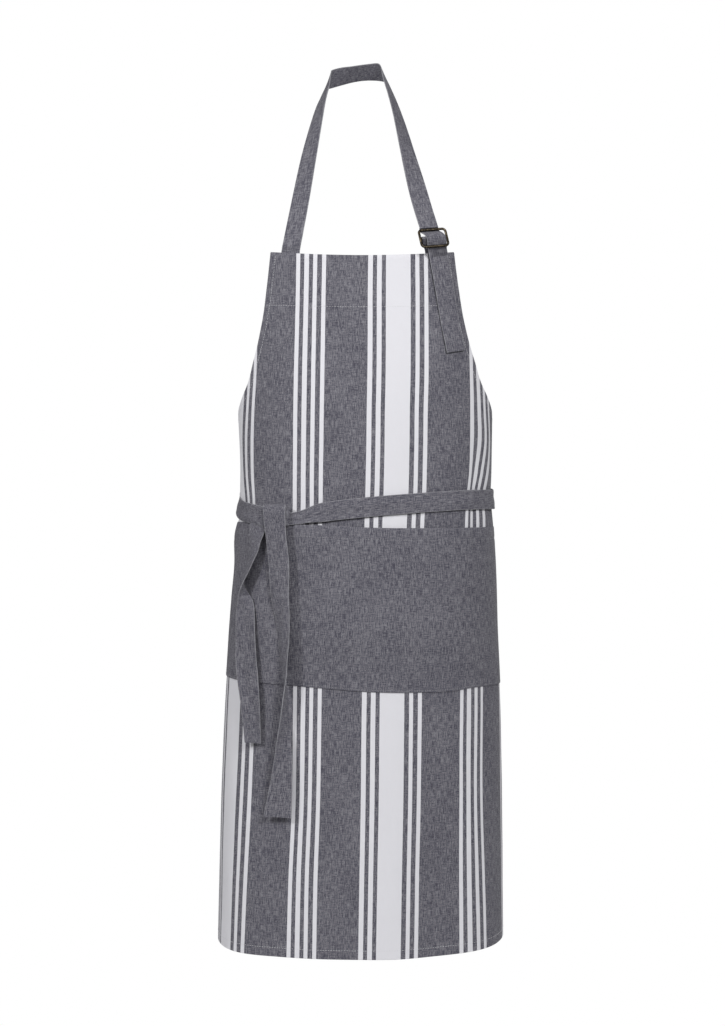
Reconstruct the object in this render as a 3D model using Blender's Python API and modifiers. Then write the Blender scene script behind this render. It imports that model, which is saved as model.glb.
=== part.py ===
"""A striped butcher apron hanging as it is worn: bib, skirt, full-width pocket, adjustable neck strap
with a slider buckle, and waist ties brought round to a knot at the front with two hanging tails.

Metres, +Z up, the apron's front faces -Y. The origin is the middle of the nape band, on the centre plane.
Cloth is modelled as thin closed sheets laid over a body form, one sheet for each piece.
"""
import math

import bmesh
import bpy
import numpy as np
from mathutils import Matrix, Vector

# Driving dimensions, in metres
CLOTH = 0.0008            # thickness of one piece of cloth
THREAD_WIDTH = 0.0008     # width and thickness of a row of stitches
THREAD_DEPTH = 0.0004
THREAD_LIFT = 0.0010      # a row of stitches above the middle of the cloth it is sewn through
EDGE_THREAD_LIFT = 0.0019 # the same where the row crosses the bends of the sheet at a slant
STRAP_WIDTH = 0.025       # neck strap, loop and waist ties
SIDE_S = 0.335            # half the flat width of the skirt
BIB_TOP_Z = -0.2605       # bib top at its corners, and how far it sags in the middle
BIB_SAG = 0.0065
HEM_Z = -1.1465
FACING_Z = -0.329         # lower edge of the bib facing
FACING_GAP = 0.0038       # facing behind the panel, with the strap ends between
STRAP_TUCK = 0.0014       # the sewn strap ends behind the panel
POCKET_TOP_Z = -0.610
POCKET_BASE_Z = -0.8145
POCKET_LIFT = 0.0014      # pocket in front of the panel where it is sewn
POCKET_BELLY = 0.0074     # more than that where it hangs slack, out to this far from the middle
POCKET_SLACK_S = 0.215
COLUMNS = 32              # every sheet over the form bends along the same columns
HINGE_GAP = 0.0015        # cloth on both sides of a fold line

# Body form: height, half width, shift to the side, front y, back y
FORM_POWER = 2.35
FORM = (
    (-1.150, 0.1860, -0.0020, -0.205, 0.032),
    (-0.860, 0.1795, 0.0000, -0.200, 0.028),
    (-0.700, 0.1720, 0.0020, -0.196, 0.024),
    (-0.615, 0.1675, 0.0020, -0.193, 0.020),
    (-0.565, 0.1633, 0.0040, -0.190, 0.018),
    (-0.450, 0.1650, 0.0030, -0.185, 0.015),
    (-0.360, 0.1630, 0.0010, -0.176, 0.012),
    (-0.260, 0.1580, 0.0000, -0.165, 0.010),
)
# Flat half width of the panel by height: bib, armhole and waist corner
EDGE = (
    (-0.498, SIDE_S), (-0.482, 0.262), (-0.462, 0.205), (-0.437, 0.170),
    (-0.397, 0.148), (-0.352, 0.1335), (-0.300, 0.1245), (-0.260, 0.1195),
)

# Neck strap centre line from the left end to the buckle, and the direction across the strap
NECK_ROUTE = (
    ((-0.0900, -0.1560, -0.2540), (0.990, -0.017, 0.141)),
    ((-0.0800, -0.1290, -0.1930), (0.90, -0.42, 0.10)),
    ((-0.0693, -0.1000, -0.1260), (0.76, -0.62, 0.20)),
    ((-0.0578, -0.0660, -0.0630), (0.45, -0.80, 0.40)),
    ((-0.0465, -0.0420, -0.0230), (0.12, -0.88, 0.45)),
    ((-0.0340, -0.0120, -0.0040), (0.05, -0.78, 0.62)),
    ((-0.0100, 0.0000, 0.0000), (0.00, -0.73, 0.68)),
    ((0.0140, -0.0120, 0.0005), (-0.05, -0.78, 0.62)),
    ((0.0270, -0.0400, -0.0110), (-0.12, -0.88, 0.45)),
    ((0.0450, -0.0660, -0.0630), (-0.45, -0.80, 0.40)),
    ((0.0589, -0.1000, -0.1260), (-0.78, -0.60, 0.12)),
    ((0.0712, -0.1330, -0.1790), (-0.92, -0.38, 0.00)),
    ((0.0853, -0.1590, -0.2300), (-0.990, 0.017, -0.141)),
)

# Slider buckle: centre, axis along its bars, downward axis, outer size and wire
BUCKLE_CENTRE = Vector((0.0897, -0.1665, -0.2448))
BUCKLE_ALONG = Vector((0.947, 0.302, 0.111)).normalized()
BUCKLE_DOWN = Vector((0.200, -0.280, -0.940)).normalized()
BUCKLE_LENGTH = 0.0390
BUCKLE_HEIGHT = 0.0265
BUCKLE_WIRE = 0.0032
BUCKLE_BAR = 0.0030
BUCKLE_CORNER = 0.0042
LOOP_CLOTH = 0.0007

# Free end of the neck strap: flat position of its top and bottom, and its height above the panel
FREE_TOP = (0.0985, -0.2665)
FREE_END = (0.1185, -0.3875)
FREE_LIFT = 0.0038

# Waist ties: turn round the form (0 front, 1 back, counted on past the back), height, lift off the form.
# The left tie starts at the left back corner and ends at the knot from the right; the right tie mirrors it.
LEFT_TIE = (
    (-2.215, -0.5950, 0.0056), (-2.150, -0.5915, 0.0040), (-2.000, -0.5855, 0.0018),
    (-1.750, -0.5760, 0.0018), (-1.500, -0.5725, 0.0019), (-1.260, -0.5620, 0.0019),
    (-1.180, -0.5560, 0.0003), (-1.000, -0.5310, 0.0000), (-0.860, -0.5110, -0.0004),
    (-0.800, -0.5030, -0.0024), (-0.735, -0.4990, -0.0028),
)
RIGHT_TIE = (
    (0.735, -0.4990, -0.0028), (0.800, -0.5030, -0.0020), (0.860, -0.5110, 0.0018),
    (1.000, -0.5310, 0.0022), (1.180, -0.5560, 0.0026), (1.260, -0.5640, 0.0034),
    (1.500, -0.5800, 0.0034), (1.620, -0.5900, 0.0056), (1.692, -0.5970, 0.0092),
)

# Knot and tails: flat position, lift off the form
KNOT_S = -0.1100
KNOT_TOP_Z = -0.5825
KNOT_BASE_Z = -0.6105
LONG_TAIL = (
    (-0.9715, -0.1020, 0.0105), (-0.8500, -0.1000, 0.0115), (-0.7900, -0.1000, 0.0120),
    (-0.7000, -0.1030, 0.0120), (-0.6120, -0.1100, 0.0130),
)
SHORT_TAIL = (
    (-0.8825, -0.1380, 0.0105), (-0.8000, -0.1470, 0.0110), (-0.7400, -0.1515, 0.0112),
    (-0.6800, -0.1480, 0.0115), (-0.6120, -0.1365, 0.0120),
)
TAIL_GAP = 0.0022         # cloth above and below each tail's fold lines
LONG_TAIL_BEND_Z = -0.790
SHORT_TAIL_BEND_Z = -0.745

COLOURS = {
    "striped_cotton": (0.42, 0.41, 0.47, 1.0),
    "chambray_cotton": (0.135, 0.130, 0.160, 1.0),
    "white_thread": (0.80, 0.80, 0.82, 1.0),
    "antique_brass": (0.10, 0.085, 0.055, 1.0),
}


def clear_scene():
    for obj in list(bpy.data.objects):
        bpy.data.objects.remove(obj, do_unlink=True)


def new_collection(name):
    collection = bpy.data.collections.new(name)
    bpy.context.scene.collection.children.link(collection)
    return collection


def material(name):
    if name in bpy.data.materials:
        return bpy.data.materials[name]
    made = bpy.data.materials.new(name)
    made.use_nodes = True
    shader = made.node_tree.nodes["Principled BSDF"]
    is_metal = name == "antique_brass"
    shader.inputs["Base Color"].default_value = COLOURS[name]
    shader.inputs["Roughness"].default_value = 0.38 if is_metal else 0.9
    shader.inputs["Metallic"].default_value = 1.0 if is_metal else 0.0
    return made


def spline(table, x):
    """The smooth curve through a table's rows at x, the first column, which rises."""
    rows = np.array(table, dtype=float)
    keys, values = rows[:, 0], rows[:, 1:]
    slopes = np.gradient(values, keys, axis=0)
    x = min(max(x, keys[0]), keys[-1])
    i = min(max(int(np.searchsorted(keys, x)) - 1, 0), len(keys) - 2)
    span = keys[i + 1] - keys[i]
    t = (x - keys[i]) / span
    return (
        (2 * t**3 - 3 * t**2 + 1) * values[i]
        + (t**3 - 2 * t**2 + t) * span * slopes[i]
        + (3 * t**2 - 2 * t**3) * values[i + 1]
        + (t**3 - t**2) * span * slopes[i + 1]
    )


def section(z):
    """The form's right half outline at a height, from the front centre to the back, with its length."""
    half_width, shift, front, back = spline(FORM, z)
    turn = np.linspace(0.0, math.pi, 241)
    power = 2.0 / FORM_POWER
    x = half_width * np.abs(np.sin(turn)) ** power
    y = (front + back) / 2 - (back - front) / 2 * np.sign(np.cos(turn)) * np.abs(np.cos(turn)) ** power
    length = np.concatenate([[0.0], np.cumsum(np.hypot(np.diff(x), np.diff(y)))])
    return x, y, length, shift


def form_point(s, z, lift=0.0):
    """The point at flat distance s from the front centre and height z, lifted off the form."""
    x, y, length, shift = section(z)
    side = -1.0 if s < 0 else 1.0
    here = min(abs(s), length[-1])
    step = 0.002
    px, py = np.interp(here, length, x), np.interp(here, length, y)
    before, after = max(here - step, 0.0), min(here + step, length[-1])
    along = Vector((
        np.interp(after, length, x) - np.interp(before, length, x),
        np.interp(after, length, y) - np.interp(before, length, y),
        0.0,
    )).normalized()
    return Vector((side * (px + along.y * lift) + shift, py - along.x * lift, z))


def turn_point(turn, z, lift=0.0):
    """As form_point, with the place round the form given as a turn: 0 front, 1 and -1 back."""
    wrapped = (turn + 1.0) % 2.0 - 1.0
    return form_point(wrapped * section(z)[2][-1], z, lift)


def edge_s(z):
    return float(spline(EDGE, z)[0]) if z > EDGE[0][0] else SIDE_S


def top_z(s):
    return BIB_TOP_Z - BIB_SAG * (1.0 - min(1.0, (s / EDGE[-1][1]) ** 2))


def hem_z(s):
    return HEM_Z + (0.0105 if s > 0 else 0.0022) * min(1.0, abs(s) / 0.25) ** 2


def panel_flat(u, z):
    """Flat position of column u (-1 to 1) at nominal height z, with the sagging top and raised hem."""
    s = u * edge_s(z)
    near_top = max(0.0, 1.0 - (BIB_TOP_Z - z) / 0.06)
    near_hem = max(0.0, 1.0 - (z - HEM_Z) / 0.12)
    return s, z + near_top * (top_z(s) - BIB_TOP_Z) + near_hem * (hem_z(s) - HEM_Z)


def pocket_lift(s, z):
    slack_up = min(1.0, max(0.0, (z - POCKET_BASE_Z) / 0.09))
    slack_up = slack_up * slack_up * (3 - 2 * slack_up)
    slack_across = (1.0 - min(1.0, abs(s) / POCKET_SLACK_S) ** 2) ** 2
    return POCKET_LIFT + POCKET_BELLY * slack_up * slack_across


def sheet(name, slot, across, along, point, thickness=CLOTH, pivot=(0.0, 0.0, 0.0)):
    """A closed sheet of cloth: a grid whose cells (u, v from 0 to 1) are placed by point(u, v)."""
    mesh = bpy.data.meshes.new(name)
    grid = bmesh.new()
    bmesh.ops.create_grid(grid, x_segments=across, y_segments=along, size=0.5)
    pivot = Vector(pivot)
    for vert in grid.verts:
        vert.co = Vector(point(vert.co.x + 0.5, vert.co.y + 0.5)) - pivot
    bmesh.ops.recalc_face_normals(grid, faces=grid.faces)
    grid.to_mesh(mesh)
    grid.free()
    mesh.shade_smooth()
    mesh.set_sharp_from_angle(angle=math.radians(40))
    obj = bpy.data.objects.new(name, mesh)
    obj.location = pivot
    mesh.materials.append(material(slot))
    thick = obj.modifiers.new("cloth", "SOLIDIFY")
    thick.thickness = thickness
    thick.offset = 0.0
    thick.use_even_offset = True
    apron.objects.link(obj)
    return obj


def ribbon(name, slot, centre, across, steps, width=STRAP_WIDTH, thickness=CLOTH, pivot=(0.0, 0.0, 0.0)):
    """A strap along centre(t), its width along across(t), both for t from 0 to 1."""
    def point(u, v):
        return Vector(centre(v)) + Vector(across(v)).normalized() * (u - 0.5) * width
    return sheet(name, slot, 2, steps, point, thickness, pivot)


def stitches(name, flat, count, lift):
    """A row of stitches over the form: flat(t) gives its flat place, lift(s, z) its height off the form."""
    def point(u, v):
        s, z = flat(v)
        s2, z2 = flat(min(1.0, v + 0.01))
        s1, z1 = flat(max(0.0, v - 0.01))
        run = math.hypot(s2 - s1, z2 - z1)
        offset = (u - 0.5) * THREAD_WIDTH
        s, z = s - (z2 - z1) / run * offset, z + (s2 - s1) / run * offset
        return form_point(s, z, lift(s, z))
    return sheet(name, "white_thread", 1, count, point, THREAD_DEPTH)


def build_panel_and_pocket():
    """The striped panel, its facing, the pocket and the rows of stitches that hold them."""
    heights = np.concatenate([
        np.linspace(BIB_TOP_Z, -0.437, 7)[:-1],
        np.linspace(-0.437, -0.472, 4)[:-1],
        np.linspace(-0.472, -0.498, 9)[:-1],
        np.linspace(-0.498, HEM_Z, 15),
    ])
    rows = len(heights) - 1

    def panel(u, v):
        z = float(np.interp(v * rows, np.arange(rows + 1), heights))
        return form_point(*panel_flat(2 * u - 1, z))
    sheet("main_panel", "striped_cotton", COLUMNS, rows, panel)

    def facing(u, v):
        z = BIB_TOP_Z + 0.0003 - v * (BIB_TOP_Z - FACING_Z)
        s, z = panel_flat((2 * u - 1) * 0.985, z)
        return form_point(s, z, -FACING_GAP)
    sheet("bib_facing", "striped_cotton", COLUMNS, 4, facing)

    def pocket(u, v):
        s, z = (2 * u - 1) * SIDE_S, POCKET_TOP_Z - v * (POCKET_TOP_Z - POCKET_BASE_Z)
        return form_point(s, z, pocket_lift(s, z))
    sheet("pocket_panel", "chambray_cotton", COLUMNS, 10, pocket)

    def above_panel(s, z):
        return THREAD_LIFT

    def above_pocket(s, z):
        return pocket_lift(s, z) + THREAD_LIFT

    def across(half_width, height):
        return lambda t: ((2 * t - 1) * half_width, height)

    facing_half = edge_s(FACING_Z) - 0.010
    stitches("facing_thread", across(facing_half, FACING_Z + 0.0015), COLUMNS, above_panel)
    stitches("pocket_hem_thread", across(SIDE_S - 0.008, POCKET_TOP_Z - 0.0145), COLUMNS * 2, above_pocket)
    stitches("pocket_base_thread", across(SIDE_S - 0.008, POCKET_BASE_Z + 0.0020), COLUMNS * 2, above_pocket)
    stitches(
        "bottom_hem_thread",
        lambda t: ((2 * t - 1) * (SIDE_S - 0.002), hem_z((2 * t - 1) * SIDE_S) + 0.0106),
        COLUMNS * 2, above_panel,
    )
    for side, word in ((-1, "left"), (1, "right")):
        def armhole(t, side=side):
            z = BIB_TOP_Z - 0.006 - t * 0.226
            return side * (edge_s(z) - 0.0075), z

        def side_hem(t, side=side):
            return side * (SIDE_S - 0.007), -0.520 - t * (-0.520 - HEM_Z - 0.014)
        stitches(f"armhole_thread_{word}", armhole, 40, lambda s, z: EDGE_THREAD_LIFT)
        stitches(f"side_thread_{word}", side_hem, 14, lambda s, z: -2 * THREAD_LIFT)


def route_point(route, t):
    """Centre and width direction at t (0 to 1) along a route of (point, direction) pairs."""
    table = [(i, *point, *direction) for i, (point, direction) in enumerate(route)]
    row = spline(table, t * (len(route) - 1))
    return Vector(row[:3]), Vector(row[3:]).normalized()


def between(start, end, t):
    return start + (end - start) * t


def build_neck_strap():
    """The neck strap from its fold at the bib's left corner, round the nape, to its fold at the buckle."""
    left_fold = Vector(NECK_ROUTE[0][0])
    right_fold = Vector(NECK_ROUTE[-1][0])
    # t where the strap starts and ends, a hinge gap away from each fold line
    first_run = (Vector(NECK_ROUTE[1][0]) - left_fold).length * (len(NECK_ROUTE) - 1)
    last_run = (Vector(NECK_ROUTE[-2][0]) - right_fold).length * (len(NECK_ROUTE) - 1)
    start, end = HINGE_GAP / first_run, 1.0 - HINGE_GAP / last_run
    ribbon(
        "neck_strap", "chambray_cotton",
        lambda t: route_point(NECK_ROUTE, between(start, end, t))[0],
        lambda t: route_point(NECK_ROUTE, between(start, end, t))[1],
        48, pivot=left_fold,
    )

    # The strap's left end goes down from the fold, between the bib and its facing
    fold_across = Vector(NECK_ROUTE[0][1]).normalized()

    def sewn_end(u, v):
        aside = (u - 0.5) * STRAP_WIDTH
        if v == 0.0:
            return left_fold + Vector((0.0, 0.0, -HINGE_GAP)) + fold_across * aside
        # level with the panel's top edge, then down behind it
        s, z = between(-0.0925, -0.0945, v), between(-0.2612, -0.3150, (8 * v - 1) / 7)
        return form_point(s + aside, z, -STRAP_TUCK)
    sheet("strap_end_sewn", "chambray_cotton", 4, 8, sewn_end)


def box_stitch(name, s, z, lift, size=0.017):
    """The square of stitches that holds a strap's end to the cloth."""
    mesh = bpy.data.meshes.new(name)
    square = bmesh.new()
    bmesh.ops.create_grid(square, x_segments=3, y_segments=3, size=0.5)
    inner = [f for f in square.faces if f.calc_center_median().length < 0.01]
    bmesh.ops.delete(square, geom=inner, context="FACES")
    reach = 1.0 - 2 * THREAD_WIDTH / size
    for vert in square.verts:
        x, y = vert.co.x, vert.co.y
        x, y = (math.copysign(0.5 * reach, c) if abs(c) < 0.4 else c for c in (x, y))
        vert.co = form_point(s + x * size, z + y * size, lift)
    square.to_mesh(mesh)
    square.free()
    obj = bpy.data.objects.new(name, mesh)
    mesh.materials.append(material("white_thread"))
    thick = obj.modifiers.new("thread", "SOLIDIFY")
    thick.thickness = THREAD_DEPTH
    thick.offset = 0.0
    apron.objects.link(obj)


def buckle_matrix():
    up = -BUCKLE_DOWN
    back = BUCKLE_ALONG.cross(BUCKLE_DOWN).normalized()
    axes = Matrix((BUCKLE_ALONG, back, up)).transposed().to_4x4()
    return Matrix.Translation(BUCKLE_CENTRE) @ axes


def build_buckle():
    """The slider: a bent wire frame and its middle bar, both placed by an empty on the bar's axis."""
    pivot = bpy.data.objects.new("buckle_pivot", None)
    pivot.matrix_world = buckle_matrix()
    apron.objects.link(pivot)

    half_x = (BUCKLE_LENGTH - BUCKLE_WIRE) / 2
    half_z = (BUCKLE_HEIGHT - BUCKLE_WIRE) / 2
    curve = bpy.data.curves.new("buckle_frame", "CURVE")
    curve.dimensions = "3D"
    curve.bevel_depth = BUCKLE_WIRE / 2
    curve.bevel_resolution = 3
    points = []
    for quarter, (sx, sz) in enumerate(((1, 1), (-1, 1), (-1, -1), (1, -1))):
        centre = Vector((sx * (half_x - BUCKLE_CORNER), 0.0, sz * (half_z - BUCKLE_CORNER)))
        for step in range(5):
            angle = math.radians(90 * quarter + 22.5 * step)
            points.append(centre + Vector((math.cos(angle), 0.0, math.sin(angle))) * BUCKLE_CORNER)
    path = curve.splines.new("POLY")
    path.points.add(len(points) - 1)
    for slot, point in zip(path.points, points):
        slot.co = (*point, 1.0)
    path.use_cyclic_u = True
    frame = bpy.data.objects.new("buckle_frame", curve)
    curve.materials.append(material("antique_brass"))
    frame.parent = pivot
    apron.objects.link(frame)

    bpy.ops.mesh.primitive_cylinder_add(
        vertices=16, radius=BUCKLE_BAR / 2, depth=BUCKLE_LENGTH - 2 * BUCKLE_WIRE - 0.0006,
        rotation=(0.0, math.radians(90), 0.0),
    )
    bar = bpy.context.object
    bar.name = bar.data.name = "buckle_bar"
    bar.data.shade_smooth()
    bar.data.set_sharp_from_angle(angle=math.radians(40))
    bar.data.materials.append(material("antique_brass"))
    bar.parent = pivot
    for owner in list(bar.users_collection):
        owner.objects.unlink(bar)
    apron.objects.link(bar)


def build_buckle_cloth():
    """The strap's turn over the bar, the sewn loop round the bar, and the strap's free end."""
    local = buckle_matrix()

    def in_buckle(y, z):
        return local @ Vector((0.0, y, z))

    # Over the bar: behind the top rail, in front of the bar, behind the bottom rail (y back, z up)
    turn = (
        (0.0, 0.0027, 0.0134), (1.0, 0.0026, 0.0104), (2.0, -0.0016, 0.0052), (3.0, -0.0036, 0.0),
        (4.0, -0.0016, -0.0052), (5.0, 0.0024, -0.0104), (6.0, 0.0026, -0.0130),
    )
    ribbon(
        "strap_turn", "chambray_cotton",
        lambda t: in_buckle(*spline(turn, 6 * t)), lambda t: BUCKLE_ALONG, 18,
        pivot=BUCKLE_CENTRE,
    )

    # Round the bar and down behind the bib, both layers between the panel and its facing
    wrap = BUCKLE_BAR / 2 + 0.0003 + LOOP_CLOTH / 2
    arc = [
        in_buckle(-wrap * math.cos(angle), wrap * math.sin(angle))
        for angle in np.radians(np.linspace(-50, 200, 9))
    ]
    tucked = 3                       # rows of each layer behind the bib, front layer first
    rows = 2 * tucked + len(arc) - 1

    def loop(u, v):
        row = round(v * rows)
        aside = (u - 0.5) * STRAP_WIDTH
        if tucked <= row < tucked + len(arc):
            return arc[row - tucked] + BUCKLE_ALONG * aside
        front = row < tucked
        down = (tucked - 1 - row if front else row - tucked - len(arc)) / (tucked - 1)
        lift = -STRAP_TUCK if front else -STRAP_TUCK - LOOP_CLOTH - 0.0004
        return form_point(between(0.0970, 0.0990, down) + aside, between(-0.2600, -0.3080, down), lift)
    sheet("buckle_loop", "chambray_cotton", 4, rows, loop, thickness=LOOP_CLOTH)

    # The free end lies over the bib, slanting out and down
    lean = Vector((FREE_END[1] - FREE_TOP[1], 0.0, FREE_END[0] - FREE_TOP[0])).normalized()

    def free_end(u, v):
        s = between(FREE_TOP[0], FREE_END[0], v) - lean.x * (u - 0.5) * STRAP_WIDTH
        z = between(FREE_TOP[1], FREE_END[1], v) + lean.z * (u - 0.5) * STRAP_WIDTH
        return form_point(s, z, FREE_LIFT)
    sheet("strap_free_end", "chambray_cotton", 2, 10, free_end, pivot=form_point(*FREE_TOP, FREE_LIFT))


def build_ties():
    """Both waist ties from their corners round the back to the knot."""
    for name, table in (("waist_tie_left", LEFT_TIE), ("waist_tie_right", RIGHT_TIE)):
        start, end = table[0][0], table[-1][0]

        def point(u, v, table=table, start=start, end=end):
            turn = between(start, end, v)
            z, lift = spline(table, turn)
            return turn_point(turn, z + (u - 0.5) * STRAP_WIDTH, lift)
        sheet(name, "chambray_cotton", 2, 72, point)
    for side, word in ((-1, "left"), (1, "right")):
        box_stitch(f"tie_stitch_{word}", side * 0.3235, -0.5110, THREAD_LIFT, size=0.012)


def level_across(s, z):
    """The level direction across a hanging band at flat place s, towards +X."""
    return (form_point(s + 0.0125, z) - form_point(s - 0.0125, z)).normalized()


def build_knot_and_tails():
    """The knot: its crossed core, the turn over it, and the two tails, each in two lengths."""
    mesh = bpy.data.meshes.new("knot_core")
    core = bmesh.new()
    bmesh.ops.create_cube(core, size=1.0)
    bmesh.ops.scale(core, vec=(0.0230, 0.0040, 0.0200), verts=core.verts)
    core.to_mesh(mesh)
    core.free()
    middle = form_point(KNOT_S, (KNOT_TOP_Z + KNOT_BASE_Z) / 2, 0.0118)
    obj = bpy.data.objects.new("knot_core", mesh)
    obj.location = middle
    normal = form_point(KNOT_S, middle.z, 1.0) - middle
    obj.rotation_euler = (0.0, 0.0, math.atan2(normal.y, normal.x) + math.pi / 2)
    mesh.materials.append(material("chambray_cotton"))
    soft = obj.modifiers.new("rounded", "BEVEL")
    soft.width = 0.0018
    soft.segments = 3
    apron.objects.link(obj)

    # Up behind the core, over its top and down its front
    over = (
        (0.0, -0.5880, 0.0078), (1.0, -0.5835, 0.0090), (2.0, -0.5824, 0.0118), (3.0, -0.5836, 0.0147),
        (4.0, -0.5900, 0.0160), (5.0, -0.6020, 0.0157), (6.0, -0.6105, 0.0142),
    )

    def knot_turn(u, v):
        z, lift = spline(over, 6 * v)
        return form_point(KNOT_S, z, lift) + level_across(KNOT_S, z) * (u - 0.5) * STRAP_WIDTH
    sheet("knot_turn", "chambray_cotton", 2, 14, knot_turn)

    for name, table, bend_z in (
        ("long_tail", LONG_TAIL, LONG_TAIL_BEND_Z), ("short_tail", SHORT_TAIL, SHORT_TAIL_BEND_Z)
    ):
        top, bottom = table[-1][0], table[0][0]
        across = level_across(spline(table, top)[0], top)
        runs = (("upper", top - TAIL_GAP, bend_z + TAIL_GAP), ("lower", bend_z - TAIL_GAP, bottom))
        for part, high, low in runs:
            def point(u, v, table=table, high=high, low=low, across=across):
                z = between(high, low, v)
                s, lift = spline(table, z)
                return form_point(s, z, lift) + across * (u - 0.5) * STRAP_WIDTH
            hinge_z = top if part == "upper" else bend_z
            s, lift = spline(table, hinge_z)
            sheet(f"{name}_{part}", "chambray_cotton", 2, 8, point, pivot=form_point(s, hinge_z, lift))


clear_scene()
apron = new_collection("butcher_apron")
build_panel_and_pocket()
build_neck_strap()
build_buckle()
build_buckle_cloth()
build_ties()
build_knot_and_tails()
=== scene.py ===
import bisect
import functools
import math

import bmesh
import bpy
import numpy as np
from mathutils import Matrix, Vector, noise


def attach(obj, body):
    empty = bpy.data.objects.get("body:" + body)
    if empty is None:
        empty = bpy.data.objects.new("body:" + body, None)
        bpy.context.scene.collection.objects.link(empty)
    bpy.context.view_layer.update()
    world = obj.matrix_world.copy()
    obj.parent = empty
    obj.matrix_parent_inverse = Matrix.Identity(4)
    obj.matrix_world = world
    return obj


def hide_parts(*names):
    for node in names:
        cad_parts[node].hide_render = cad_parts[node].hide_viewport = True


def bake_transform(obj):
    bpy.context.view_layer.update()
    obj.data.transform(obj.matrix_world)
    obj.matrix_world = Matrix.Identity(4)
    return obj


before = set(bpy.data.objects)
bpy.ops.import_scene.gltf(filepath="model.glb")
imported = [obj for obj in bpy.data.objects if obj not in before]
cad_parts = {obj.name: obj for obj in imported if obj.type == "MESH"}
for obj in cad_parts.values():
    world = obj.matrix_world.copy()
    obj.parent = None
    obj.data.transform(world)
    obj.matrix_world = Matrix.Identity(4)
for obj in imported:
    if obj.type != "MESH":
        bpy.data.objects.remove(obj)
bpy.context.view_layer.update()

# ----------------------------------------------------------------------------
# Studio: a level camera straight in front at waist height, a pale round floor below the hem,
# an even white surround, a key lamp and a side lamp in front, and a broad lamp behind.
# ----------------------------------------------------------------------------
bpy.context.scene.view_settings.view_transform = "Standard"

CAMERA_LENS = 70.18          # millimetres
CAMERA_PLACE = (0.0, -2.690, -0.592)
SURROUND_LIGHT, SURROUND_SEEN = 0.30, 1.0
FRONT_AIM = (0.0, -0.1, -0.6)
FLOOR_Z, FLOOR_RADIUS = -1.52, 0.82

camera_data = bpy.data.cameras.new("camera")
camera_data.lens = CAMERA_LENS
camera = bpy.data.objects.new("camera", camera_data)
camera.location = CAMERA_PLACE
camera.rotation_euler = (math.radians(90), 0.0, 0.0)
bpy.context.scene.collection.objects.link(camera)
bpy.context.scene.camera = camera

surround = bpy.data.worlds.new("surround")
surround.use_nodes = True
backdrop = surround.node_tree.nodes["Background"]
backdrop.inputs["Color"].default_value = (1.0, 1.0, 1.0, 1.0)
seen = surround.node_tree.nodes.new("ShaderNodeLightPath").outputs["Is Camera Ray"]
level = surround.node_tree.nodes.new("ShaderNodeMapRange")     # pure white behind, softer as light
level.inputs["To Min"].default_value = SURROUND_LIGHT
level.inputs["To Max"].default_value = SURROUND_SEEN
surround.node_tree.links.new(seen, level.inputs["Value"])
surround.node_tree.links.new(level.outputs["Result"], backdrop.inputs["Strength"])
bpy.context.scene.world = surround


def soft_lamp(name, power, size, place, aim):
    lamp = bpy.data.lights.new(name, "AREA")
    lamp.energy, lamp.size = power, size
    holder = bpy.data.objects.new(name, lamp)
    holder.location = place
    holder.rotation_euler = (Vector(aim) - Vector(place)).to_track_quat("-Z", "Y").to_euler()
    bpy.context.scene.collection.objects.link(holder)


soft_lamp("key_lamp", 53.0, 0.7, (1.05, -2.5, 0.90), FRONT_AIM)
soft_lamp("side_lamp", 33.0, 0.45, (-1.95, -1.70, 0.7), FRONT_AIM)
soft_lamp("back_lamp", 26.0, 1.6, (0.3, 2.4, 0.2), (0.0, 0.0, -0.6))

floor_shape = bmesh.new()
bmesh.ops.create_circle(floor_shape, cap_ends=True, segments=96, radius=FLOOR_RADIUS,
                        matrix=Matrix.Translation((0.0, -0.08, FLOOR_Z)))
floor_mesh = bpy.data.meshes.new("floor")
floor_shape.to_mesh(floor_mesh)
floor_shape.free()
floor = bpy.data.objects.new("floor", floor_mesh)
floor_paint = bpy.data.materials.new("floor_paint")
floor_paint.use_nodes = True
floor_shader = floor_paint.node_tree.nodes["Principled BSDF"]
floor_shader.inputs["Base Color"].default_value = (0.9, 0.9, 0.9, 1.0)
floor_shader.inputs["Roughness"].default_value = 0.9
floor_mesh.materials.append(floor_paint)
bpy.context.scene.collection.objects.link(floor)

# ----------------------------------------------------------------------------
# Panel: one cut of striped cotton, bib, armholes and skirt, its edges turned to the back and
# sewn. It hangs round a body, so every place on it is a flat distance from the centre, a
# height, and a lift off the body's form.
# ----------------------------------------------------------------------------
SIDE_S = 0.335               # half the flat width of the skirt
BIB_TOP_Z, BIB_SAG = -0.2605, 0.0065
HEM_Z = -1.1465
WAIST_CORNER_Z = -0.498
FORM_POWER = 2.35
FORM = (                     # height, half width, shift to the side, front y, back y
    (-1.150, 0.1850, -0.0030, -0.205, 0.032),
    (-0.860, 0.1792, -0.0004, -0.200, 0.028),
    (-0.700, 0.1708, 0.0020, -0.196, 0.024),
    (-0.655, 0.1680, 0.0034, -0.1945, 0.022),
    (-0.615, 0.1675, 0.0020, -0.193, 0.020),
    (-0.565, 0.1633, 0.0040, -0.190, 0.018),
    (-0.450, 0.1650, 0.0030, -0.185, 0.015),
    (-0.360, 0.1630, 0.0010, -0.176, 0.012),
    (-0.260, 0.1580, 0.0000, -0.165, 0.010),
)
EDGE = (                     # flat half width by height: armhole, then bib
    (-0.498, SIDE_S), (-0.482, 0.262), (-0.462, 0.205), (-0.437, 0.170),
    (-0.397, 0.148), (-0.352, 0.1335), (-0.300, 0.1245), (-0.260, 0.1195),
)
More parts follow.
